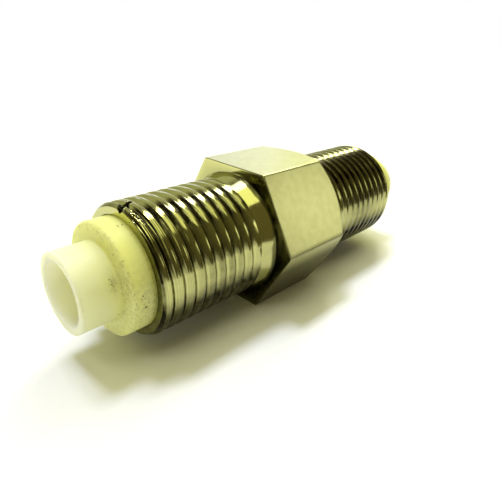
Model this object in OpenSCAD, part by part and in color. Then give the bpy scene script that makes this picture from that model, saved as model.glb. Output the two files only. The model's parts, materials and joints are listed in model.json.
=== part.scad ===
// Straight coaxial adapter with a plug at each end: a nickel-plated hexagon bar turned to a
// threaded barrel on both sides, two stepped white insulators and one double-ended contact.
// It lies along X on one flat of its hexagon, with the front plug at -X. The origin is on that
// flat, under the middle of the adapter. All sizes are in millimetres and degrees.

/* [Thread] */
// Outside diameter of the coupling thread
thread_d = 8; // [7.5:0.1:8.6]
// Pitch of the coupling thread, which sets how deep it is cut
thread_pitch = 0.75; // [0.5:0.05:1]
// Length of each barrel, from the hexagon to its end face
barrel_length = 8.4; // [6:0.1:12]
// Length of the plain shoulder between the thread and the hexagon
shoulder_length = 1.1; // [0.5:0.1:2]
// How far the shoulder stands out past the thread
shoulder_proud = 0.2; // [0.05:0.05:0.3]
// How deep the lead-in cone cuts below the thread's outside at the barrel's end
lead_in_depth = 0.2; // [0.1:0.05:0.4]
// Angle between the lead-in cone and the axis
lead_in_angle = 45; // [15:1:60]

/* [Hexagon] */
// Width across the flats
hex_flats = 9.4; // [9.2:0.1:12]
// Length along the axis
hex_length = 6.5; // [5:0.1:12]
// Angle of the cone that cuts the corners at the rear face
hex_chamfer_angle = 45; // [15:5:50]

/* [Bore] */
// Diameter of the bore through the body
bore_d = 5; // [4.5:0.1:5.6]
// Metal left between the root of the thread and the counterbore
lip_wall = 0.2; // [0.15:0.05:0.35]
// Depth of the counterbore that seats an insulator's flange
seat_depth = 3; // [2:0.1:5]

/* [Insulator] */
// Length of the flange that stands out of the barrel
flange_proud = 1.4; // [0.6:0.1:3]
// Rounding of the flange's front rim
flange_round = 0.15; // [0.05:0.05:0.4]
// Outside diameter of the hollow nose
nose_d = 4.6; // [4.2:0.1:5.2]
// Length of the nose in front of the flange
nose_length = 2.2; // [1:0.1:4]
// Thickness of the nose's wall
nose_wall = 0.45; // [0.35:0.05:0.8]
// Rounding of both edges of the nose's mouth
mouth_round = 0.06; // [0.05:0.01:0.16]
// Fillet where the nose meets the flange
nose_fillet = 0.15; // [0.05:0.05:0.3]
// Depth of the socket in the nose
socket_depth = 5; // [4:0.1:6]

/* [Contact] */
// Diameter of the contact's stem
stem_d = 1.5; // [1.3:0.1:2]
// Diameter of the pin at each end
pin_d = 1; // [0.8:0.1:1.2]
// Rounding of the pin's tip
pin_tip_round = 0.4; // [0.1:0.05:0.4]
// Distance from the nose's mouth back to the pin's tip
pin_recess = 1; // [0.5:0.1:2]
// Diameter of the collar that the two insulators hold between them
collar_d = 2.6; // [2.2:0.1:3.5]
// Length of the collar
collar_length = 2; // [1:0.1:3]

/* [Fits] */
// Gap all round between an insulator and the body
insulator_gap = 0.02; // [0.01:0.01:0.05]
// Gap all round between the contact's stem and an insulator
stem_gap = 0.02; // [0.01:0.01:0.05]

/* [Hidden] */
$fn = 96;

// Depth of a metric outside thread as a share of its pitch
THREAD_DEPTH_SHARE = 0.6134;
// Corner to corner of a hexagon as a share of its width across flats
CORNER_SHARE = 1 / cos(30);
// How far a cutting shape runs past the face it opens
CUT = 1;

// Radii, from the thread inwards
thread_r = thread_d / 2;
root_r = thread_r - THREAD_DEPTH_SHARE * thread_pitch;
shoulder_r = thread_r + shoulder_proud;
lead_in_r = thread_r - lead_in_depth;
seat_r = root_r - lip_wall;
bore_r = bore_d / 2;
flange_r = seat_r - insulator_gap;
shank_r = bore_r - insulator_gap;
nose_r = nose_d / 2;
socket_r = nose_r - nose_wall;
stem_r = stem_d / 2;
stem_hole_r = stem_r + stem_gap;
pin_r = pin_d / 2;
collar_r = collar_d / 2;
flat_r = hex_flats / 2;
corner_r = flat_r * CORNER_SHARE;

// Stations along the axis, measured out from the middle of the adapter
collar_x = collar_length / 2;
hex_x = hex_length / 2;
end_x = hex_x + barrel_length;
seat_x = end_x - seat_depth;
flange_x = end_x + flange_proud;
tip_x = flange_x + nose_length;
socket_x = tip_x - socket_depth;
pin_x = tip_x - pin_recess;

// Lays what is drawn along Z on the adapter's axis, so that Z becomes X
module on_axis() {
    translate([0, 0, flat_r])
        rotate([0, 90, 0])
            children();
}

// Turns a half section, radius by station, on the half of the adapter that side names
module turned(side) {
    mirror([0, 0, side == "front" ? 1 : 0])
        rotate_extrude()
            children();
}

// Half section of a rod of radius r from station a to b, with the rim at b rounded
module rounded_rod(r, a, b, rim) {
    difference() {
        translate([0, a])
            square([r, b - a]);
        translate([r - rim, b - rim])
            difference() {
                square(2 * rim);
                circle(rim);
            }
    }
}

// Half section of the fillet in the corner between a rod of radius r and the face at station a
module corner_fillet(r, a, fillet) {
    translate([r, a])
        difference() {
            square(fillet);
            translate([fillet, fillet])
                circle(fillet);
        }
}

// Half section of the flare that rounds the inner edge of a hole of radius r at station b
module rounded_mouth(r, b, rim) {
    translate([r, b - rim])
        difference() {
            square([rim, rim + CUT]);
            translate([rim, 0])
                circle(rim);
        }
}

// Half section of a barrel: shoulder, thread at its outside diameter, lead-in
module barrel_section() {
    thread_x = hex_x + shoulder_length;
    lead_in_x = end_x - lead_in_depth / tan(lead_in_angle);
    polygon([
        [0, 0],
        [shoulder_r, 0],
        [shoulder_r, thread_x - shoulder_proud],
        [thread_r, thread_x],
        [thread_r, lead_in_x],
        [lead_in_r, end_x],
        [0, end_x]
    ]);
}

// Hexagon with a flat underneath, its corners cut at the rear face only
module hexagon() {
    corner_cut = (corner_r - flat_r) * tan(hex_chamfer_angle);
    intersection() {
        rotate(30)
            cylinder(r = corner_r, h = hex_length, center = true, $fn = 6);
        rotate_extrude()
            polygon([
                [0, -hex_x],
                [corner_r + CUT, -hex_x],
                [corner_r + CUT, hex_x - corner_cut],
                [corner_r, hex_x - corner_cut],
                [flat_r, hex_x],
                [0, hex_x]
            ]);
    }
}

// Hexagon and both barrels in one piece, bored through and counterbored at each end
module body() {
    color("#c9c79a")
        on_axis()
            difference() {
                union() {
                    hexagon();
                    for (side = ["front", "rear"])
                        turned(side)
                            barrel_section();
                }
                cylinder(r = bore_r, h = 2 * (end_x + CUT), center = true);
                for (side = ["front", "rear"])
                    turned(side)
                        translate([0, seat_x])
                            square([seat_r, seat_depth + CUT]);
            }
}

// Shank in the bore, flange in the counterbore and a hollow nose in front of it
module insulator(side) {
    color("#f2f2dc")
        on_axis()
            turned(side)
                difference() {
                    union() {
                        translate([0, collar_x])
                            square([shank_r, seat_x - collar_x]);
                        rounded_rod(flange_r, seat_x, flange_x, flange_round);
                        rounded_rod(nose_r, seat_x, tip_x, mouth_round);
                        corner_fillet(nose_r, flange_x, nose_fillet);
                    }
                    translate([0, socket_x])
                        square([socket_r, socket_depth + CUT]);
                    rounded_mouth(socket_r, tip_x, mouth_round);
                    square([stem_hole_r, tip_x]);
                }
}

module front_insulator() {
    insulator("front");
}

module rear_insulator() {
    insulator("rear");
}

// Stem through both insulators, a collar between them and a round-nosed pin in each socket
module centre_contact() {
    color("#d8b45c")
        on_axis()
            for (side = ["front", "rear"])
                turned(side) {
                    square([collar_r, collar_x]);
                    square([stem_r, socket_x]);
                    rounded_rod(pin_r, 0, pin_x, min(pin_tip_round, pin_r));
                }
}

body();
front_insulator();
rear_insulator();
centre_contact();
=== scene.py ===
"""A straight coaxial adapter, plug to plug, lying on a white table on one flat of its hexagon.

The turned body carries its real coupling thread, both insulators and the contact are lathe
surfaces, and all four take the place of their plain solids. Lengths are in millimetres until
piece() turns them into metres. X runs along the adapter, with the front plug at -X. Angles about
the axis run from +Y towards +Z, so that 90 degrees is the top, 180 the near side and 270 the
underside. A station is the distance along the axis from the mouth of the nearer nose.
"""
import json
import math

import bmesh
import bpy
import numpy as np
from mathutils import Matrix, Vector


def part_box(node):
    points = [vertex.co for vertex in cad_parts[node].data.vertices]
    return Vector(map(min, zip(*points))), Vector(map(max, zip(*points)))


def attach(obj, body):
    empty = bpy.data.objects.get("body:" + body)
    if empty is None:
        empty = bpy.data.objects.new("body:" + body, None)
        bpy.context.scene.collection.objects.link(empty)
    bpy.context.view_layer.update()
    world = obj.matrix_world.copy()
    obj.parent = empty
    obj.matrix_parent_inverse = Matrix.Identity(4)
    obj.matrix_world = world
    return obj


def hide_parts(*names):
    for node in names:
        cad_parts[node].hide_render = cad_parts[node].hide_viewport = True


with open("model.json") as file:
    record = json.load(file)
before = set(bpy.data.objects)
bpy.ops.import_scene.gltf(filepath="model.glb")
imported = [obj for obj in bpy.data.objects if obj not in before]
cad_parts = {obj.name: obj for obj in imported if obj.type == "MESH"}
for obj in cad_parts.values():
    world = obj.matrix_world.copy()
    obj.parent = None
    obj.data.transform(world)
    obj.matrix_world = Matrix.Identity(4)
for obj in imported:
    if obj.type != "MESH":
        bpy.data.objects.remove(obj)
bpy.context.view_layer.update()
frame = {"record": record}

MM = 0.001
TAU = 2 * math.pi
FRONT, REAR = -1, 1
mounts = {m["name"]: m["dims"] for m in frame["record"]["mounts"]}


def span(name):
    """Lowest and highest corner of a solid, in millimetres."""
    low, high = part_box(name)
    return np.array(low) / MM, np.array(high) / MM


body_low, body_high = span("body")
insulator_low, insulator_high = span("rear_insulator")
contact_low, contact_high = span("centre_contact")

# Sizes that the frame gives
AXIS_HEIGHT = (body_low[2] + body_high[2]) / 2
FLAT_R = (body_high[2] - body_low[2]) / 2
END_X = body_high[0]
TIP_X = insulator_high[0]
COLLAR_X = insulator_low[0]
FLANGE_R = (insulator_high[2] - insulator_low[2]) / 2
PIN_X = contact_high[0]
COLLAR_R = (contact_high[2] - contact_low[2]) / 2
THREAD_R = mounts["front_thread"]["r_mm"]
NOSE_R = mounts["front_nose"]["r_mm"]
PIN_R = mounts["front_pin"]["r_mm"]

# Sizes of the body that the frame doesn't state
HEX_X = 3.25
PITCH = 0.75
SHOULDER_LENGTH = 1.1
SHOULDER_PROUD = 0.2
LEAD_IN_DEPTH = 0.2
LEAD_IN_SLOPE = math.tan(math.radians(45))
SEAT_DEPTH = 3.0
BORE_R = 2.5
CHAMFER_SLOPE = 1.0

# Sizes of the insulators and the contact
FLANGE_PROUD = 1.4
FLANGE_ROUND = 0.15
NOSE_WALL = 0.45
NOSE_FILLET = 0.15
MOUTH_ROUND = 0.06
SOCKET_DEPTH = 5.0
SOCKET_R = NOSE_R - NOSE_WALL
STEM_R = 0.75
# Rounding of the pin's tip as a share of its radius
PIN_TIP_SHARE = 0.8

# Gap all round between pieces that sit in each other, and the radii that it gives
GAP = 0.02
SEAT_R = FLANGE_R + GAP
SHANK_R = BORE_R - GAP
STEM_HOLE_R = STEM_R + GAP


def linear(code):
    """sRGB hex code to a linear colour with alpha 1."""
    srgb = np.array([int(code[i:i + 2], 16) for i in (1, 3, 5)]) / 255
    rgb = np.where(srgb <= 0.04045, srgb / 12.92, ((srgb + 0.055) / 1.055) ** 2.4)
    return (*rgb.tolist(), 1.0)


def add(tree, kind, links=None, **settings):
    """Adds a node, sets its properties, and links or sets its inputs by name or number."""
    made = tree.nodes.new(kind)
    for name, value in settings.items():
        setattr(made, name, value)
    for key, value in (links or {}).items():
        if isinstance(value, bpy.types.NodeSocket):
            tree.links.new(value, made.inputs[key])
        else:
            made.inputs[key].default_value = value
    return made


# Numbers of a Mix node's two colour inputs and of its colour output
MIX_A, MIX_B, MIX_OUT = 6, 7, 2


def new_material(name, kind="ShaderNodeBsdfPrincipled"):
    """A node material with a bare shader: the material, its tree and the shader."""
    made = bpy.data.materials.new(name)
    made.use_nodes = True
    tree = made.node_tree
    tree.nodes.clear()
    shader = add(tree, kind)
    add(tree, "ShaderNodeOutputMaterial", {"Surface": shader.outputs[0]})
    return made, tree, shader


def nickel_on_turned_brass():
    """Bright nickel plate over brass from the lathe.

    The eye sees a warm mirror, drawn into fine rings by the tool, darkened towards brown where it is
    grimy and by painted shade in its grooves, corners and underneath.
    """
    made, tree, shader = new_material("nickel_plate_on_turned_brass")
    place = add(tree, "ShaderNodeTexCoord").outputs["Object"]
    # How grimy the surface is, with painted shade in it
    grime = add(tree, "ShaderNodeAttribute", attribute_name="grime").outputs["Fac"]
    # Blotches of tarnish about 0.5 mm across
    blotch = add(tree, "ShaderNodeTexNoise", {"Vector": place, "Scale": 1 / (0.5 * MM), "Detail": 5.0,
                                              "Roughness": 0.65}).outputs["Fac"]
    # Tool rings about 0.1 mm apart, coarser than the real ones so that they show
    drawn_out = add(tree, "ShaderNodeMapping", {"Vector": place, "Scale": (1.0, 0.03, 0.03)})
    rings = add(tree, "ShaderNodeTexNoise", {"Vector": drawn_out.outputs[0], "Scale": 1 / (0.1 * MM),
                                             "Detail": 2.0}).outputs["Fac"]
    patchy = add(tree, "ShaderNodeMapRange", {"Value": blotch, "From Min": 0.3, "From Max": 0.6,
                                              "To Min": 0.8, "To Max": 1.0})
    share = add(tree, "ShaderNodeMath", {0: grime, 1: patchy.outputs[0]}, operation="MULTIPLY",
                use_clamp=True).outputs[0]
    colour = add(tree, "ShaderNodeMix", {"Factor": share, MIX_A: linear("#c9c786"),
                                         MIX_B: linear("#171304")}, data_type="RGBA")
    bright = add(tree, "ShaderNodeMapRange", {"Value": rings, "From Min": 0.35, "From Max": 0.65,
                                              "To Min": 0.07, "To Max": 0.13})
    # Grimy and painted-shade parts are rougher than the bright plate
    rough = add(tree, "ShaderNodeMath", {0: share, 1: 0.14, 2: bright.outputs[0]},
                operation="MULTIPLY_ADD")
    relief = add(tree, "ShaderNodeBump", {"Height": rings, "Strength": 0.1, "Distance": 0.01 * MM})
    tree.links.new(colour.outputs[MIX_OUT], shader.inputs["Base Color"])
    tree.links.new(rough.outputs[0], shader.inputs["Roughness"])
    tree.links.new(relief.outputs[0], shader.inputs["Normal"])
    shader.inputs["Metallic"].default_value = 1.0
    return made


def nickel_on_drawn_bar():
    """Nickel plate over the drawn faces of the hexagon bar.

    The eye sees a satin, even sheen with faint cloudy patches, with painted shade underneath, along
    its edges and along the near corner.
    """
    made, tree, shader = new_material("nickel_plate_on_drawn_bar")
    place = add(tree, "ShaderNodeTexCoord").outputs["Object"]
    # How grimy the surface is, with painted shade in it
    grime = add(tree, "ShaderNodeAttribute", attribute_name="grime").outputs["Fac"]
    # Grain about 0.15 mm across, a little drawn out along the bar
    stretched = add(tree, "ShaderNodeMapping", {"Vector": place, "Scale": (0.5, 1.0, 1.0)})
    grain = add(tree, "ShaderNodeTexNoise", {"Vector": stretched.outputs[0], "Scale": 1 / (0.15 * MM),
                                             "Detail": 3.0}).outputs["Fac"]
    # Patches about 0.5 mm across
    patch = add(tree, "ShaderNodeTexNoise", {"Vector": place, "Scale": 1 / (0.5 * MM), "Detail": 3.0})
    patchy = add(tree, "ShaderNodeMapRange", {"Value": patch.outputs["Fac"], "From Min": 0.35,
                                              "From Max": 0.65})
    clean = add(tree, "ShaderNodeMix", {"Factor": patchy.outputs[0], MIX_A: linear("#d2d19a"),
                                        MIX_B: linear("#dad9a6")}, data_type="RGBA")
    colour = add(tree, "ShaderNodeMix", {"Factor": grime, MIX_A: clean.outputs[MIX_OUT],
                                         MIX_B: linear("#2a240a")}, data_type="RGBA", clamp_factor=True)
    rough = add(tree, "ShaderNodeMapRange", {"Value": grain, "To Min": 0.26, "To Max": 0.33})
    relief = add(tree, "ShaderNodeBump", {"Height": grain, "Strength": 0.12, "Distance": 0.01 * MM})
    tree.links.new(colour.outputs[MIX_OUT], shader.inputs["Base Color"])
    tree.links.new(rough.outputs[0], shader.inputs["Roughness"])
    tree.links.new(relief.outputs[0], shader.inputs["Normal"])
    shader.inputs["Metallic"].default_value = 1.0
    return made


# Single specks of dirt on the front insulator: station, distance from the axis, angle in degrees
# and size
SPECKS = (
    (2.92, FLANGE_R, 187.4, 0.105), (2.78, FLANGE_R, 174.7, 0.065), (3.12, FLANGE_R, 105.0, 0.05),
    (3.12, FLANGE_R, 103.0, 0.05), (3.39, FLANGE_R, 104.0, 0.06), (2.20, 2.85, 128.0, 0.06),
    (2.20, 3.00, 161.0, 0.06), (1.72, NOSE_R, 151.0, 0.045), (1.80, NOSE_R, 154.0, 0.035),
    (1.78, NOSE_R, 158.0, 0.05), (1.85, NOSE_R, 161.0, 0.045), (2.05, NOSE_R, 210.0, 0.05),
)


def turned_fluoropolymer():
    """White fluoropolymer, turned from rod.

    The eye sees a waxy white that light passes into, yellowed towards the barrel, with dark, dirty
    specks along its rims and painted shade against the barrel, at the nose's root and on the flange's
    near side.
    """
    made, tree, shader = new_material("turned_white_fluoropolymer")
    place = add(tree, "ShaderNodeTexCoord").outputs["Object"]
    stain = add(tree, "ShaderNodeAttribute", attribute_name="stain").outputs["Fac"]
    # How grimy the surface is, with painted shade in it
    grime = add(tree, "ShaderNodeAttribute", attribute_name="grime").outputs["Fac"]
    inner = add(tree, "ShaderNodeAttribute", attribute_name="inner").outputs["Fac"]
    # Clouds about 1.5 mm across and fine dirt about 0.2 mm across
    cloud = add(tree, "ShaderNodeTexNoise", {"Vector": place, "Scale": 1 / (1.5 * MM), "Detail": 4.0})
    fine = add(tree, "ShaderNodeTexNoise", {"Vector": place, "Scale": 1 / (0.2 * MM), "Detail": 3.0,
                                            "Roughness": 0.65})
    clean = add(tree, "ShaderNodeMix", {"Factor": cloud.outputs["Fac"], MIX_A: linear("#fcfcc2"),
                                        MIX_B: linear("#fefed2")}, data_type="RGBA")
    clean = add(tree, "ShaderNodeMix", {"Factor": inner, MIX_A: clean.outputs[MIX_OUT],
                                        MIX_B: linear("#fefedc")}, data_type="RGBA")
    colour = add(tree, "ShaderNodeMix", {"Factor": stain, MIX_A: clean.outputs[MIX_OUT],
                                         MIX_B: linear("#e2e270")}, data_type="RGBA")
    smear = add(tree, "ShaderNodeMapRange", {"Value": fine.outputs["Fac"], "From Min": 0.42,
                                             "From Max": 0.74, "To Min": 0.3, "To Max": 0.75})
    dirt_and_shade = add(tree, "ShaderNodeMath", {0: smear.outputs[0], 1: grime}, operation="MULTIPLY").outputs[0]
    # Scattered specks about 0.07 mm across in cells of 0.16 mm, as many as the mask of soiling and
    # painted shade is strong
    cells = add(tree, "ShaderNodeTexVoronoi", {"Vector": place, "Scale": 1 / (0.16 * MM)}).outputs
    speck = add(tree, "ShaderNodeMapRange", {"Value": cells["Distance"], "From Min": 0.15,
                                             "From Max": 0.28, "To Min": 0.75, "To Max": 0.0})
    there = add(tree, "ShaderNodeMath", {0: cells["Color"], 1: grime}, operation="LESS_THAN")
    speck = add(tree, "ShaderNodeMath", {0: speck.outputs[0], 1: there.outputs[0]},
                operation="MULTIPLY").outputs[0]
    dirt_and_shade = add(tree, "ShaderNodeMath", {0: dirt_and_shade, 1: speck}, operation="MAXIMUM").outputs[0]
    for station, radius, angle, size in SPECKS:
        middle = around(station - TIP_X, radius, math.radians(angle)) * MM
        away = add(tree, "ShaderNodeVectorMath", {0: place, 1: middle.tolist()}, operation="DISTANCE")
        mark = add(tree, "ShaderNodeMapRange",
                   {"Value": away.outputs["Value"], "From Min": 0.4 * size * MM, "From Max": size * MM,
                    "To Min": 1.0, "To Max": 0.0}).outputs[0]
        dirt_and_shade = add(tree, "ShaderNodeMath", {0: dirt_and_shade, 1: mark}, operation="MAXIMUM").outputs[0]
    soiled_and_shaded = add(tree, "ShaderNodeMix", {"Factor": dirt_and_shade, MIX_A: colour.outputs[MIX_OUT],
                                         MIX_B: linear("#5a4c12")}, data_type="RGBA")
    waxy = add(tree, "ShaderNodeMath", {0: 1.0, 1: dirt_and_shade}, operation="SUBTRACT")
    relief = add(tree, "ShaderNodeBump", {"Height": fine.outputs["Fac"], "Strength": 0.08,
                                          "Distance": 0.01 * MM})
    tree.links.new(soiled_and_shaded.outputs[MIX_OUT], shader.inputs["Base Color"])
    tree.links.new(waxy.outputs[0], shader.inputs["Subsurface Weight"])
    tree.links.new(relief.outputs[0], shader.inputs["Normal"])
    shader.inputs["Roughness"].default_value = 0.42
    shader.inputs["IOR"].default_value = 1.38
    shader.inputs["Subsurface Radius"].default_value = (1.0, 0.95, 0.7)
    shader.inputs["Subsurface Scale"].default_value = 1.5 * MM
    return made


def gold_plate():
    """Thin gold over turned brass: the eye sees a clean yellow mirror."""
    made, tree, shader = new_material("gold_plate_on_brass")
    place = add(tree, "ShaderNodeTexCoord").outputs["Object"]
    # Clouds about 0.8 mm across
    cloud = add(tree, "ShaderNodeTexNoise", {"Vector": place, "Scale": 1 / (0.8 * MM), "Detail": 3.0})
    rough = add(tree, "ShaderNodeMapRange", {"Value": cloud.outputs["Fac"], "To Min": 0.12,
                                             "To Max": 0.24})
    tree.links.new(rough.outputs[0], shader.inputs["Roughness"])
    shader.inputs["Base Color"].default_value = linear("#dcb765")
    shader.inputs["Metallic"].default_value = 1.0
    return made


def around(x, r, angle):
    """Points at x and at radius r from the axis, turned by angle from +Y towards +Z."""
    x, r, angle = np.broadcast_arrays(x, r, angle)
    return np.stack([x, r * np.cos(angle), AXIS_HEIGHT + r * np.sin(angle)], axis=-1)


def quads(rows, columns):
    """Corner numbers of the faces of a grid, row by row."""
    low = (np.arange(rows - 1)[:, None] * columns + np.arange(columns - 1)).reshape(-1)
    return np.stack([low, low + 1, low + columns + 1, low + columns], axis=1)


# Points nearer than this are one point, and edges that bend more than this look sharp
MERGE_DISTANCE = 2e-4
SHARP_ANGLE = math.radians(35)


def piece(name, points, layers, materials, node, face_material=None):
    """Turns a grid of points into a closed mesh that stands for a solid.

    Rows run along the profile and columns round the axis. Points that fall together, at the
    seam, the poles and where rows run into an end, are merged. Layers are values on the points
    that the materials read by name.
    """
    rows, columns = points.shape[:2]
    mesh = bpy.data.meshes.new(name)
    mesh.from_pydata((points.reshape(-1, 3) * MM).tolist(), [], quads(rows, columns).tolist())
    for material in materials:
        mesh.materials.append(material)
    if face_material is not None:
        mesh.polygons.foreach_set("material_index", np.repeat(face_material, columns - 1))
    for label, values in layers.items():
        layer = mesh.attributes.new(label, "FLOAT", "POINT")
        spread = np.broadcast_to(values, (rows, columns)).ravel()
        layer.data.foreach_set("value", spread.astype(np.float32))
    work = bmesh.new()
    work.from_mesh(mesh)
    bmesh.ops.remove_doubles(work, verts=work.verts, dist=MERGE_DISTANCE * MM)
    bmesh.ops.dissolve_degenerate(work, edges=work.edges, dist=MERGE_DISTANCE * MM)
    bmesh.ops.recalc_face_normals(work, faces=work.faces)
    work.to_mesh(mesh)
    work.free()
    mesh.shade_smooth()
    mesh.set_sharp_from_angle(angle=SHARP_ANGLE)
    made = bpy.data.objects.new(name, mesh)
    bpy.context.scene.collection.objects.link(made)
    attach(made, "root")
    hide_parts(node)
    return made


def arc(centre_x, centre_r, radius, start, end, steps=6):
    """Points of a round edge in the half section: (x, radius), angles in degrees from +X."""
    a = np.radians(np.linspace(start, end, steps))
    return np.stack([centre_x + radius * np.cos(a), centre_r + radius * np.sin(a)], axis=1)


def lathe(name, outline, layers, angles, material, node):
    """Carries a half section, a closed list of (x, radius), round the axis."""
    outline = np.vstack([outline, outline[:1]])
    points = around(outline[:, :1], outline[:, 1:], angles[None, :])
    return piece(name, points, layers, [material], node)


def bell(value, middle, width):
    """A bell curve of height 1."""
    return np.exp(-((value - middle) / width) ** 2)


def ramp(value, start, end):
    """A straight line from 0 at start to 1 at end, level on either side."""
    return np.clip((value - start) / (end - start), 0, 1)


def lower(a, b, blend):
    """The lower of two radii, with the corner between them rounded by a hyperbola."""
    return (a + b - np.sqrt((a - b) ** 2 + blend ** 2)) / 2


# Thread: share of the pitch that the crest takes, slope of the flanks, roundings of root, crest and
# lead-in, length over which the groove fades out at the shoulder, and rounding of the barrel's edges
CREST_SHARE = 0.5
FLANK_SLOPE = math.tan(math.radians(42))
ROOT_ROUND = 0.03
CREST_ROUND = 0.05
LEAD_IN_BLEND = 0.02
RUN_OUT = 0.5
EDGE = 0.03
# A crest of the front thread in the photograph: its x, and its angle in degrees
SEEN_CREST_X, SEEN_CREST_ANGLE = -9.96, 109
# x of one crest of each thread where the angle about the axis is 0
CREST_X = {FRONT: SEEN_CREST_X - PITCH * SEEN_CREST_ANGLE / 360, REAR: 8.0}
# Rows across one pitch, from the middle of the groove
HALF_PHASES = np.array([0.03, 0.07, 0.13, 0.20, 0.26, 0.30, 0.335, 0.375, 0.43])
PHASES = np.concatenate([[0.0], HALF_PHASES, [0.5], 1 - HALF_PHASES[::-1]])
# Rows to a pitch, and how many pitches have them, where the front thread has fine tool lines
FINE_ROWS, FINE_TURNS = 30, 5


def thread_depth(phase):
    """Depth below the crest at a share of the pitch, 0 in the middle of the groove.

    A V groove with its root rounded by a hyperbola, cut off at the crest by another one.
    """
    off = (phase - np.round(phase)) * PITCH
    half = (1 - CREST_SHARE) / 2 * PITCH
    wall = FLANK_SLOPE * (half + ROOT_ROUND - np.sqrt(off ** 2 + ROOT_ROUND ** 2))
    return (wall + np.sqrt(wall ** 2 + CREST_ROUND ** 2)) / 2


GROOVE_DEPTH = float(thread_depth(np.array(0.0)))

# Grime and painted shade run from 0 to 1. They go up to this where no blotch of the material may
# lighten them.
BLACK = 1.6


def underside(turn):
    """Painted shade underneath, by the angle in degrees: rising past 182, fading from 320 to 340."""
    return 0.8 * ramp(turn, 182, 200) * ramp(turn, 340, 320)


# Marks where the front thread starts: station, angle, half length, half width in degrees, height
NICKS = (
    (3.66, 94.0, 0.07, 2.2, -0.22), (3.86, 92.0, 0.12, 2.6, -0.24), (4.06, 90.5, 0.12, 3.0, -0.26),
    (4.22, 89.5, 0.10, 1.3, -0.20), (4.42, 88.5, 0.09, 1.8, -0.18), (3.93, 111.5, 0.06, 1.2, -0.14),
    (4.03, 117.0, 0.06, 1.0, -0.10), (3.84, 108.0, 0.04, 0.9, -0.12), (3.90, 95.5, 0.05, 0.8, 0.10),
    (3.75, 97.0, 0.04, 1.0, 0.06), (4.10, 93.5, 0.04, 0.7, 0.08), (3.72, 99.0, 0.04, 2.0, 0.04),
    (3.76, 104.0, 0.04, 3.0, 0.05), (3.98, 107.0, 0.08, 1.2, 0.03),
)
# Small marks scattered over the first crest, between these limits of the same values
CRUMB_COUNT, CRUMB_SEED = 14, 5
CRUMB_LOW = np.array([3.64, 97.0, 0.03, 0.5, -0.09])
CRUMB_HIGH = np.array([4.15, 116.0, 0.07, 1.3, 0.06])
# Depth at which a bite is fully black with painted shade
BITE_DEPTH = 0.04


def crumbs():
    """Small torn bites and burrs, in the form of NICKS, drawn evenly between their limits."""
    draws = np.random.default_rng(CRUMB_SEED).random((CRUMB_COUNT, len(CRUMB_LOW)))
    return (CRUMB_LOW + (CRUMB_HIGH - CRUMB_LOW) * draws).tolist()


def nicks(station, turn):
    """Torn bites and burrs on the front thread: the change of radius, and how black they are with
    painted shade.

    Each mark is a bell along the axis times a bell round it.
    """
    change = np.zeros(np.broadcast(station, turn).shape)
    for middle, angle, length, width, height in (*NICKS, *crumbs()):
        change = change + height * bell(station, middle, length) * bell(turn, angle, width)
    return change, BLACK * ramp(-change, 0, BITE_DEPTH)


# Fine tool lines on the front thread: spacing, depth, and the stations where they begin to fade
# and where they end
FINE_PITCH, FINE_DEPTH = 0.15, 0.014
FINE_FULL, FINE_END = 4.4, 6.4


def fine_lines(x, winding):
    """How deep the tool lines are, 0 to 1: a cosine along the helix, fading towards the hexagon."""
    along = (x - PITCH * winding) / FINE_PITCH
    return ramp(x + TIP_X, FINE_END, FINE_FULL) * (0.5 - 0.5 * np.cos(TAU * along))


# A thin raised burr along the front edge of the first crests: height, width, and the stations where
# it begins to fade and where it ends
BURR, BURR_WIDTH = 0.018, 0.022
BURR_FULL, BURR_END = 4.9, 7.4


def burr(phase, station):
    """How high the burr stands: a bell across the crest's front edge, fading along the barrel."""
    off = (phase - np.round(phase)) * PITCH
    edge = (1 - CREST_SHARE) / 2 * PITCH
    return BURR * ramp(station, BURR_END, BURR_FULL) * bell(off, edge, BURR_WIDTH)


def thread_grime_and_shade(phase, deep, station, turn):
    """Grime and painted shade on either thread, from the place across the pitch, the depth, the station
    and the angle.

    A thin layer lies all over. It is darker on the near side, but not on flanks that face the front,
    and in a line behind the top. Towards the barrel's end the near side is lighter, and painted shade
    lies above it. The groove's walls carry painted shade between the top and the near side, blackest
    towards the top. The roots carry painted shade too, less on the far side and towards the hexagon.
    Underneath everything carries painted shade.
    """
    by_end = ramp(station, 7, 4.5)
    spared = np.where(phase > np.round(phase), 0.7, 0.0) * ramp(deep, 0.35, 0.65)
    near_side = (0.1 + 0.44 * bell(station, 7.8, 2.2)) * bell(turn, 176, 22)
    film_and_shade = 0.12 * (1 - 0.4 * by_end * bell(turn, 178, 16)) + near_side * (1 - spared)
    # A darker line behind the top, and painted shade above the near side towards the barrel's end
    film_and_shade = film_and_shade + 0.1 * bell(turn, 80, 8) + 0.15 * by_end * bell(turn, 143, 17)
    # Painted shade on the groove's walls and in the roots, and underneath
    black_to = 119 + 10 * ramp(station, 5, 8)
    wall = (1.2 - 0.6 * ramp(turn, black_to, black_to + 10)) * np.sqrt(deep)
    wall = wall * ramp(turn, 97, 104) * ramp(turn, 168, 164)
    root = (0.6 - 0.45 * ramp(station, 4.5, 7.5)) * ramp(deep, 0.8, 0.95)
    root = root * (0.2 + 0.8 * ramp(turn, 95, 115))
    return film_and_shade + np.maximum(wall, root) + underside(turn)


def start_grime_and_shade(grime, lines, station, turn):
    """Grime and painted shade on the front thread, changed by its start and its tool lines.

    Where the thread starts, the metal between the lines is bright on the upper near side, and the
    lines carry painted shade. The rim beside the insulator carries painted shade but for the top and
    the far side.
    """
    start = ramp(station, 5.2, 4.0)
    grime = grime * (1 - 0.9 * start * (1 - lines) * bell(turn, 113, 17))
    # Painted shade in the tool lines, and on the rim beside the insulator
    grime = grime + 0.25 * lines * bell(turn, 176, 18)
    grime = grime + 0.9 * start * lines ** 2 * bell(turn, 124, 24)
    rim = np.maximum(ramp(turn, 108, 133), bell(turn, 60, 30)) * ramp(station, 3.8, 3.65)
    return grime + 0.6 * rim * ramp(turn, 320, 280)


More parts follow.
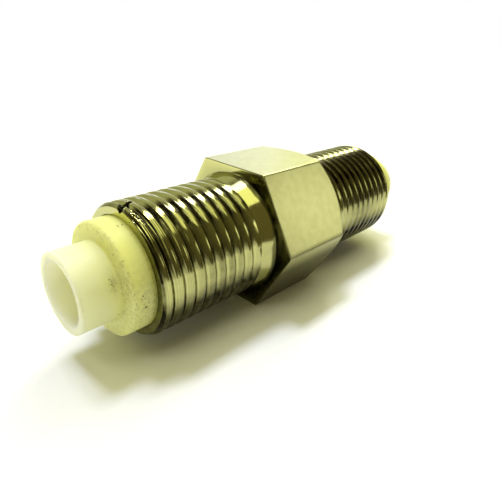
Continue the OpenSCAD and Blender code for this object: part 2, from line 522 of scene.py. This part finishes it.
def thread_rows(side, angles):
    """x, radius, and soiling with painted shade, of one barrel, on rows that follow its right-hand
    helix.

    Row k winds along x = groove + pitch * (u_k + angle / 360), so crest and groove edges lie on
    rows. Rows that run past either end are held there. The groove fades out towards the shoulder,
    and the lead-in cone cuts the thread at the barrel's end. The front thread has its marks too,
    and the rear one more painted shade, most just past the top on the near side.
    """
    inner, outer = HEX_X + SHOULDER_LENGTH, END_X - EDGE
    low, high = sorted((side * inner, side * outer))
    # Pitches start before the barrel, because a row climbs by one pitch on its way round
    first = math.floor((low - CREST_X[side]) / PITCH) - 2
    last = math.ceil((high - CREST_X[side]) / PITCH) + 1
    phases = PHASES if side == FRONT else PHASES[::2]
    u = (np.arange(first, last)[:, None] + phases).reshape(-1)
    if side == FRONT:
        fine_end = first + FINE_TURNS
        u = np.concatenate([np.arange(first, fine_end, 1 / FINE_ROWS), u[u >= fine_end]])
    groove_x = CREST_X[side] + PITCH / 2
    winding = angles[None, :] / TAU
    x = np.clip(groove_x + PITCH * (u[:, None] + winding), low, high)
    phase = (x - groove_x) / PITCH - winding
    depth = thread_depth(phase) * ramp(np.abs(x), inner, inner + RUN_OUT)
    lead_in = THREAD_R - LEAD_IN_DEPTH + (END_X - np.abs(x)) * LEAD_IN_SLOPE
    r = lower(THREAD_R - depth, lead_in, LEAD_IN_BLEND)
    station, turn = TIP_X - np.abs(x), np.degrees(angles)[None, :]
    grime = thread_grime_and_shade(phase, np.clip(depth / GROOVE_DEPTH, 0, 1), station, turn)
    if side == REAR:
        # The rear barrel gets more painted shade, most just past the top on the near side
        return x, r, grime + 0.05 + 0.5 * bell(turn, 112, 36)
    change, black = nicks(station, turn)
    lines = fine_lines(x, winding)
    r = np.minimum(r + change + burr(phase, station), THREAD_R) - FINE_DEPTH * lines
    return x, r, np.maximum(start_grime_and_shade(grime, lines, station, turn), black)


# Hexagon: power of the mean that draws it, size of its rounded edges, distance from an edge to the
# row that keeps the face beside it flat, and how far inside the flats the rear cone meets the face
HEX_POWER = 200
HEX_EDGE = 0.04
SUPPORT = 0.06
CONE_INSET = 0.05
# Shares of the rounded edge's size: where its middle lies, and where the cone starts and ends
EDGE_MIDDLE, CONE_START, CONE_END = 0.3, 0.7, 0.6
# How far the thin end of the shoulder lies below the thread's crests
SHOULDER_DIP = 0.12


def hexagon_radius(angles):
    """Distance from the axis to a hexagon with a flat underneath and slightly blunt corners.

    The inverse of a power mean of the six flats' cosines: a high power keeps the flats flat.
    """
    flats = np.radians(30 + 60 * np.arange(6))
    cosines = np.clip(np.cos(angles[:, None] - flats), 0, 1)
    return FLAT_R / (cosines ** HEX_POWER).sum(axis=1) ** (1 / HEX_POWER)


# Columns of the body: even steps round it, and in degrees the ones across the nicks and those
# beside each corner of the hexagon
BODY_STEPS = 120
NICK_COLUMNS = np.arange(83, 136, 0.75)
CORNER_COLUMNS = np.array([-1.0, -0.45, -0.18, 0.18, 0.45, 1.0])


def body_angles():
    """Angles round the axis: even steps, with more beside the hexagon's corners and the nicks."""
    even = np.concatenate([np.linspace(0, TAU, BODY_STEPS + 1), np.radians(NICK_COLUMNS)])
    corners = np.radians(60 * np.arange(7))
    beside = (corners[:, None] + np.radians(CORNER_COLUMNS)).reshape(-1)
    beside = beside[(beside > 0) & (beside < TAU)]
    return np.unique(np.round(np.concatenate([even, beside]), 9))


def end_rows(side, rim):
    """Rows of a barrel's end face, from the counterbore to its rim."""
    end = side * END_X
    return [(side * (END_X - EDGE), SEAT_R), (end, SEAT_R + EDGE), (end, SEAT_R + 2 * EDGE),
            (end, rim - 2 * EDGE), (end, rim - EDGE)]


# Painted shade along those rows: a dark line round the insulator
END_SHADE = (1.0, 0.8, 0.15, 0.1, 0.1)


def shoulder_rows(side):
    """Rows of the plain shoulder: a taper that rises from the thread to the hexagon's face."""
    outer, inner = THREAD_R + SHOULDER_PROUD, THREAD_R - SHOULDER_DIP
    start = HEX_X + SHOULDER_LENGTH - EDGE
    rise = (outer - inner) / (start - HEX_X)
    return [(side * start, inner), (side * (start - SUPPORT), inner + rise * SUPPORT),
            (side * (HEX_X + SUPPORT), outer - rise * SUPPORT), (side * HEX_X, outer),
            (side * HEX_X, outer + SUPPORT)]


# Painted shade along the rows of the shoulder: little in between, with a dark line at either end
SHOULDER_SHADE = (0.8, 0.1, 0.1, 0.8, 0.3)


def hexagon_rows(angles):
    """Rows of the hexagon: front edge, flats, and the cone that cuts its corners at the rear."""
    outside = hexagon_radius(angles)
    face_r = FLAT_R - CONE_INSET
    cut_x = HEX_X - (outside - face_r) * CHAMFER_SLOPE
    middle = EDGE_MIDDLE * HEX_EDGE
    front_edge = [(-HEX_X, outside - HEX_EDGE - SUPPORT), (-HEX_X, outside - HEX_EDGE),
                  (-HEX_X + middle, outside - middle), (-HEX_X + HEX_EDGE, outside)]
    flats = [(-HEX_X + HEX_EDGE + SUPPORT, outside), (cut_x - HEX_EDGE - SUPPORT, outside)]
    cone = [(cut_x - HEX_EDGE, outside), (cut_x + middle, outside - CONE_START * HEX_EDGE),
            (HEX_X - HEX_EDGE, face_r + CONE_END * HEX_EDGE)]
    rear_face = [(HEX_X, face_r - HEX_EDGE), (HEX_X, face_r - HEX_EDGE - SUPPORT)]
    return front_edge + flats + cone + rear_face


# 1 for the rows of the hexagon after which the faces are drawn bar: from its front edge to the cone
HEXAGON_DRAWN = (0, 0, 1, 1, 1, 1, 1, 0, 0, 0, 0)


def face_darkening(turn):
    """Darkening of the hexagon's front face: from the top round the near side to the underside."""
    return 0.82 * ramp(turn, 98, 116) * ramp(turn, 345, 320)


def hexagon_darkening(turn):
    """Darkening along the rows of the hexagon.

    Its front face is dark on the near side, its edge carries a dark line of painted shade all round,
    and its flats carry painted shade underneath and along the near corner.
    """
    face = face_darkening(turn)
    front_edge = [face, face, 0.6, 0.4 + underside(turn)]
    flat = underside(turn) + 0.6 * bell(turn, 180, 1.3)
    return front_edge + [flat] * (len(HEXAGON_DRAWN) - len(front_edge))


def front_shoulder_darkening(turn):
    """Darkening along the rows of the front shoulder: darker on the near side, painted shade underneath
    and at either end, and the dark face.
    """
    film_and_shade = 0.25 * bell(turn, 176, 16) + 0.25 * underside(turn)
    more = [film_and_shade, film_and_shade, film_and_shade, film_and_shade, face_darkening(turn)]
    return [line + extra for line, extra in zip(SHOULDER_SHADE, more)]


def front_end_shade(turn):
    """Painted shade along the rows of the front end face, darker on the near side and underneath."""
    lip = 0.65 * ramp(turn, 108, 133) * ramp(turn, 320, 280)
    return [line + lip for line in END_SHADE]


def bore_rows():
    """Rows of the rear counterbore, the bore and the front counterbore."""
    seat_x = END_X - SEAT_DEPTH
    return [(seat_x, SEAT_R), (seat_x, BORE_R), (-seat_x, BORE_R), (-seat_x, SEAT_R),
            (-END_X + EDGE, SEAT_R)]


def turned_runs(rows, grime):
    """Rows with their soiling and painted shade, and 0 because the faces after them are turned."""
    return [(*row, dirt_and_shade, 0) for row, dirt_and_shade in zip(rows, grime)]


def make_body(turned, drawn):
    """The body as one closed grid: along the outside from front to rear, back through the bore.

    It is put together from runs of rows: x, radius, soiling with painted shade, and 1 where the
    faces are drawn bar.
    """
    angles = body_angles()
    turn = np.degrees(angles)
    front, rear = thread_rows(FRONT, angles), thread_rows(REAR, angles)
    runs = turned_runs(end_rows(FRONT, front[1][0]), front_end_shade(turn))
    runs += [(*front, 0)]
    runs += turned_runs(shoulder_rows(FRONT), front_shoulder_darkening(turn))
    runs += [(*row, dirt_and_shade, bar) for row, dirt_and_shade, bar in
             zip(hexagon_rows(angles), hexagon_darkening(turn), HEXAGON_DRAWN)]
    runs += turned_runs(shoulder_rows(REAR)[::-1], SHOULDER_SHADE[::-1])
    runs += [(*rear, 0)]
    runs += turned_runs(end_rows(REAR, rear[1][-1])[::-1], END_SHADE[::-1])
    runs += [(*row, 0.0, 0) for row in bore_rows()]
    heights = [np.atleast_2d(run[0]).shape[0] for run in runs]
    x, r, grime, bar = (np.vstack([np.broadcast_to(run[k], (rows, len(angles)))
                                   for run, rows in zip(runs, heights)]) for k in range(4))
    return piece("turned_body", around(x, r, angles[None, :]), {"grime": np.clip(grime, 0, BLACK)},
                 [turned, drawn], "body",
                 face_material=bar[:-1, 0].astype(int))


# Rows of an insulator where its dirt changes: distances out from the barrel's end, out from the
# flange's face, and in from the nose's mouth
BARREL_ROWS = (-0.1, 0.08, 0.25, 0.6)
NOSE_ROWS = (0.3, 0.45, 0.6, 0.9)
MOUTH_ROW = 0.25


def insulator_outline(side):
    """Half section of an insulator: shank, flange, nose, socket and the contact's hole."""
    flange_x = END_X + FLANGE_PROUD
    seat_x = END_X - SEAT_DEPTH
    socket_x = TIP_X - SOCKET_DEPTH
    outline = np.vstack([
        [(COLLAR_X, STEM_HOLE_R), (COLLAR_X, SHANK_R), (seat_x, SHANK_R), (seat_x, FLANGE_R)],
        [(END_X + out, FLANGE_R) for out in BARREL_ROWS],
        [(flange_x - 2 * FLANGE_ROUND, FLANGE_R)],
        arc(flange_x - FLANGE_ROUND, FLANGE_R - FLANGE_ROUND, FLANGE_ROUND, 90, 0),
        arc(flange_x + NOSE_FILLET, NOSE_R + NOSE_FILLET, NOSE_FILLET, 180, 270),
        [(flange_x + out, NOSE_R) for out in NOSE_ROWS],
        [(TIP_X - MOUTH_ROW, NOSE_R)],
        arc(TIP_X - MOUTH_ROUND, NOSE_R - MOUTH_ROUND, MOUTH_ROUND, 90, 0),
        arc(TIP_X - MOUTH_ROUND, SOCKET_R + MOUTH_ROUND, MOUTH_ROUND, 0, -90),
        [(socket_x, SOCKET_R), (socket_x, STEM_HOLE_R)],
    ])
    return outline * [side, 1]


def insulator_layers(outline, angles):
    """How yellowed, how dirty and how shaded an insulator is, by station and angle, and where its
    inside is.

    It yellows from the mouth to the flange and most against the barrel, the rear one more than the
    front one. Dirt lies along the flange's rim, most at the top, in a patch on the nose by its root
    and round the mouth. Painted shade lies on the flange's face at the nose's root, in a dark line
    against the barrel and on the flange's near side, which is less yellow. The inside is clean as far
    as it is seen, and whiter.
    """
    outline = np.vstack([outline, outline[:1]])
    station, radius = TIP_X - np.abs(outline[:, :1]), outline[:, 1:]
    turn = np.degrees(angles)[None, :]
    end = TIP_X - END_X
    flange = end - FLANGE_PROUD
    inside = (radius < NOSE_R - MOUTH_ROUND) & (station < flange + 1)
    on_flange = ramp(station, flange - 0.1, flange + 0.1)
    # Painted shade on the flange's near side, which is also made less yellow
    near_side = on_flange * bell(turn, 190, 40)
    rear_extra = 0.25 if outline[0, 0] > 0 else 0.0
    stain = 0.1 + rear_extra + 0.35 * ramp(station, 0, flange) ** 1.5 + 0.3 * on_flange
    stain = stain + 0.4 * bell(station, end, 0.12) - 0.2 * near_side
    rim = 0.36 * bell(station, flange + 0.06, 0.12) * ramp(radius, 2.9, 3.1)
    rim = rim * (0.35 + 0.65 * bell(turn, 122, 40))
    patch = 0.8 * bell(station, 1.88, 0.28) * bell(turn, 157, 15)
    # Painted shade on the flange's face and at the nose's root
    face = 0.25 * bell(station, flange, 0.05)
    mouth = 0.25 * bell(station, 0.08, 0.08) * bell(turn, 165, 25)
    # Painted shade in a dark line where the insulator meets the barrel
    at_barrel = 0.7 * bell(station, end, 0.08)
    grime = rim + patch + face + mouth + at_barrel + 0.5 * near_side
    return {"stain": np.clip(np.where(inside, 0.0, stain), 0, 1),
            "grime": np.clip(np.where(inside, 0.0, grime), 0, 1),
            "inner": np.where(radius < SOCKET_R + MOUTH_ROUND, 1.0, 0.0)}


def contact_outline():
    """Half section of the double-ended contact: pin, stem and collar, mirrored about the middle."""
    tip = PIN_TIP_SHARE * PIN_R
    socket_x = TIP_X - SOCKET_DEPTH
    half = np.vstack([
        [(COLLAR_X, COLLAR_R), (COLLAR_X, STEM_R), (socket_x, STEM_R), (socket_x, PIN_R)],
        arc(PIN_X - tip, PIN_R - tip, tip, 90, 0, steps=9),
        [(PIN_X, 0.0)],
    ])
    return np.vstack([half[::-1] * [-1, 1], half])


turned = nickel_on_turned_brass()
drawn = nickel_on_drawn_bar()
white = turned_fluoropolymer()
gold = gold_plate()

# Steps round the axis
INSULATOR_STEPS, CONTACT_STEPS = 192, 64

make_body(turned, drawn)
insulator_angles = np.linspace(0, TAU, INSULATOR_STEPS + 1)
for side, node in ((FRONT, "front_insulator"), (REAR, "rear_insulator")):
    outline = insulator_outline(side)
    lathe("white_" + node, outline, insulator_layers(outline, insulator_angles), insulator_angles,
          white, node)
lathe("double_ended_contact", contact_outline(), {}, np.linspace(0, TAU, CONTACT_STEPS + 1), gold,
      "centre_contact")


# Table: half size in metres, y of the card's near edge, x of its right side in front of that edge,
# and how far it lies under the adapter
FLOOR_HALF = 3.0
CARD_EDGE, CARD_SIDE, CARD_DROP = -28.0, 12.0, 0.01


def white_table():
    """Matt white card: shown a little lighter to the camera and to mirrors than it bounces."""
    made, tree, shader = new_material("matt_white_card", "ShaderNodeBsdfDiffuse")
    path = add(tree, "ShaderNodeLightPath").outputs
    seen = add(tree, "ShaderNodeMath", {0: path["Is Camera Ray"], 1: path["Is Glossy Ray"]},
               operation="MAXIMUM")
    seen = add(tree, "ShaderNodeMath", {0: seen.outputs[0], 1: path["Is Transmission Ray"]},
               operation="MAXIMUM")
    colour = add(tree, "ShaderNodeMix", {"Factor": seen.outputs[0], MIX_A: linear("#eaebe7"),
                                         MIX_B: linear("#f7f7f5")}, data_type="RGBA")
    tree.links.new(colour.outputs[MIX_OUT], shader.inputs["Color"])
    return made


def make_table():
    """White card just under the adapter: two rectangles, as wide as the room behind a near edge.

    In front of that edge the card ends on the right, where the thread mirrors the dark room.
    """
    mesh = bpy.data.meshes.new("table_top")
    far, edge, side = FLOOR_HALF, CARD_EDGE * MM, CARD_SIDE * MM
    corners = [(-far, edge), (far, edge), (far, far), (-far, far),
               (-far, -far), (side, -far), (side, edge)]
    points = [(x, y, -CARD_DROP * MM) for x, y in corners]
    mesh.from_pydata(points, [], [(0, 6, 1, 2, 3), (4, 5, 6, 0)])
    mesh.materials.append(white_table())
    made = bpy.data.objects.new("table_top", mesh)
    bpy.context.scene.collection.objects.link(made)


make_table()


def pointing(azimuth, elevation):
    """Unit vector by its angles in degrees: azimuth from +X towards +Y, elevation upwards."""
    a, e = math.radians(azimuth), math.radians(elevation)
    return Vector((math.cos(e) * math.cos(a), math.cos(e) * math.sin(a), math.sin(e)))


# Studio: a dim room with softboxes. Each is a rectangle square to the line to its middle: azimuth,
# elevation and roll in degrees, half width and half height as tangents, brightness and colour.
COOL, NEUTRAL = (0.94, 1.0, 1.7), (0.97, 1.0, 1.28)
CREAM, WARM = (1.0, 1.02, 0.75), (1.0, 1.03, 0.55)
SOFTBOXES = (
    # Key light behind the adapter, which throws its shadow forwards
    (96.0, 74.0, 0.0, 0.16, 0.09, 27.0, NEUTRAL),
    # Ceiling panel: yellow streaks on the thread, a yellow patch on the shoulder, light in the shadow
    (-36.9, 73.7, -52.0, 0.40, 0.286, 1.55, WARM),
    # Small panel: short streaks beside the white spots
    (0.2, 49.4, -86.2, 0.108, 0.135, 0.8, WARM),
    # Tall lamp: the white spots on the crests
    (30.0, 48.0, 6.3, 0.075, 0.34, 13.5, CREAM),
    # Small lamp: the white patch on the shoulder
    (42.0, 68.0, 47.0, 0.14, 0.14, 3.0, NEUTRAL),
    # Low panels: the sheen of the near flat, and that of the top flat
    (-36.5, 17.0, 0.0, 0.11, 0.13, 1.75, CREAM),
    (52.0, 14.0, 0.0, 0.22, 0.10, 0.72, COOL),
    # Low panel in front of the nose: a glow where the shoulder meets the hexagon
    (190.0, 21.0, 0.0, 0.32, 0.20, 0.8, WARM),
    # Lamp over the nose: bright edges on the flanks that face the front, and light in the shadow
    (195.0, 63.0, 0.0, 0.22, 0.10, 4.2, CREAM),
)
# Half width of a softbox's soft edge as a tangent, and the least cosine that a tangent is taken with
SOFTBOX_EDGE, LEAST_AHEAD = 0.02, 0.05
# The room's bright side in degrees, the cosines between which it turns dark, and its two colours
ROOM_BRIGHT_SIDE = 80.0
ROOM_TURN = (0.45, 0.65)
ROOM_DARK, ROOM_BRIGHT = (0.155, 0.132, 0.055, 1), (0.57, 0.58, 0.38, 1)


def studio():
    """World light by direction, white to the camera.

    A softbox shows where a direction, seen from the adapter along the line to the softbox's
    middle, falls inside its rectangle: across / ahead and up / ahead are within the half sizes.
    """
    world = bpy.data.worlds.new("studio")
    bpy.context.scene.world = world
    world.use_nodes = True
    tree = world.node_tree
    tree.nodes.clear()
    way = add(tree, "ShaderNodeTexCoord").outputs["Generated"]

    def along(direction):
        """The part of the way that points along a direction."""
        return add(tree, "ShaderNodeVectorMath", {0: way, 1: direction},
                   operation="DOT_PRODUCT").outputs["Value"]

    def within(side, ahead, half):
        """1 inside the half size, falling softly to 0 at its edge."""
        off = add(tree, "ShaderNodeMath", {0: side, 1: ahead}, operation="DIVIDE")
        off = add(tree, "ShaderNodeMath", {0: off.outputs[0]}, operation="ABSOLUTE")
        return add(tree, "ShaderNodeMapRange",
                   {"Value": off.outputs[0], "From Min": half - SOFTBOX_EDGE,
                    "From Max": half + SOFTBOX_EDGE, "To Min": 1.0, "To Max": 0.0},
                   interpolation_type="SMOOTHSTEP").outputs[0]

    # The room is darker on the side where the camera stands
    share = add(tree, "ShaderNodeMapRange",
                {"Value": along(pointing(ROOM_BRIGHT_SIDE, 0)), "From Min": ROOM_TURN[0],
                 "From Max": ROOM_TURN[1]}, interpolation_type="SMOOTHSTEP")
    total = add(tree, "ShaderNodeMix", {"Factor": share.outputs[0], MIX_A: ROOM_DARK,
                                        MIX_B: ROOM_BRIGHT}, data_type="RGBA").outputs[MIX_OUT]
    for azimuth, elevation, roll, half_width, half_height, level, tint in SOFTBOXES:
        ahead = pointing(azimuth, elevation)
        across = Matrix.Rotation(math.radians(roll), 3, ahead) @ pointing(azimuth + 90, 0)
        depth = add(tree, "ShaderNodeMath", {0: along(ahead), 1: LEAST_AHEAD},
                    operation="MAXIMUM").outputs[0]
        wide = within(along(across), depth, half_width)
        tall = within(along(ahead.cross(across)), depth, half_height)
        shown = add(tree, "ShaderNodeMath", {0: wide, 1: tall}, operation="MULTIPLY").outputs[0]
        total = add(tree, "ShaderNodeVectorMath", {0: shown, 1: [level * c for c in tint], 2: total},
                    operation="MULTIPLY_ADD").outputs[0]
    path = add(tree, "ShaderNodeLightPath").outputs
    colour = add(tree, "ShaderNodeMix", {"Factor": path["Is Camera Ray"], MIX_A: total,
                                         MIX_B: (1, 1, 1, 1)}, data_type="RGBA")
    shine = add(tree, "ShaderNodeBackground", {"Color": colour.outputs[MIX_OUT], "Strength": 1.0})
    add(tree, "ShaderNodeOutputWorld", {"Surface": shine.outputs[0]})


studio()

# Camera: found from the photograph, 500 by 500 pixels, with the thread's outside at 8 mm
IMAGE_SIZE = 500
FOCAL_PIXELS = 433.3
SENSOR_WIDTH = 36.0
CAMERA_AZIMUTH, CAMERA_DIP, CAMERA_ROLL = 43.0, 26.48, 2.8
CAMERA_FROM_TIP = (-7.08, -19.70, 12.36)
# Nearest distance that the camera sees, and the farthest one in metres
CLIP_START, CLIP_END = 0.5, 100.0


def make_camera():
    """Perspective camera at the photograph's place, set by its turn, dip and roll."""
    ahead = pointing(CAMERA_AZIMUTH, -CAMERA_DIP)
    level = ahead.cross(Vector((0, 0, 1))).normalized()
    upright = level.cross(ahead)
    roll = math.radians(CAMERA_ROLL)
    right = math.cos(roll) * level + math.sin(roll) * upright
    up = math.cos(roll) * upright - math.sin(roll) * level
    data = bpy.data.cameras.new("photo_camera")
    data.sensor_width = SENSOR_WIDTH
    data.lens = FOCAL_PIXELS / IMAGE_SIZE * SENSOR_WIDTH
    data.clip_start, data.clip_end = CLIP_START * MM, CLIP_END
    made = bpy.data.objects.new("photo_camera", data)
    bpy.context.scene.collection.objects.link(made)
    tip = Vector((-TIP_X, 0, AXIS_HEIGHT))
    pose = Matrix((right, up, -ahead)).transposed().to_4x4()
    pose.translation = (tip + Vector(CAMERA_FROM_TIP)) * MM
    made.matrix_world = pose
    bpy.context.scene.camera = made


make_camera()
bpy.context.scene.view_settings.view_transform = "Standard"
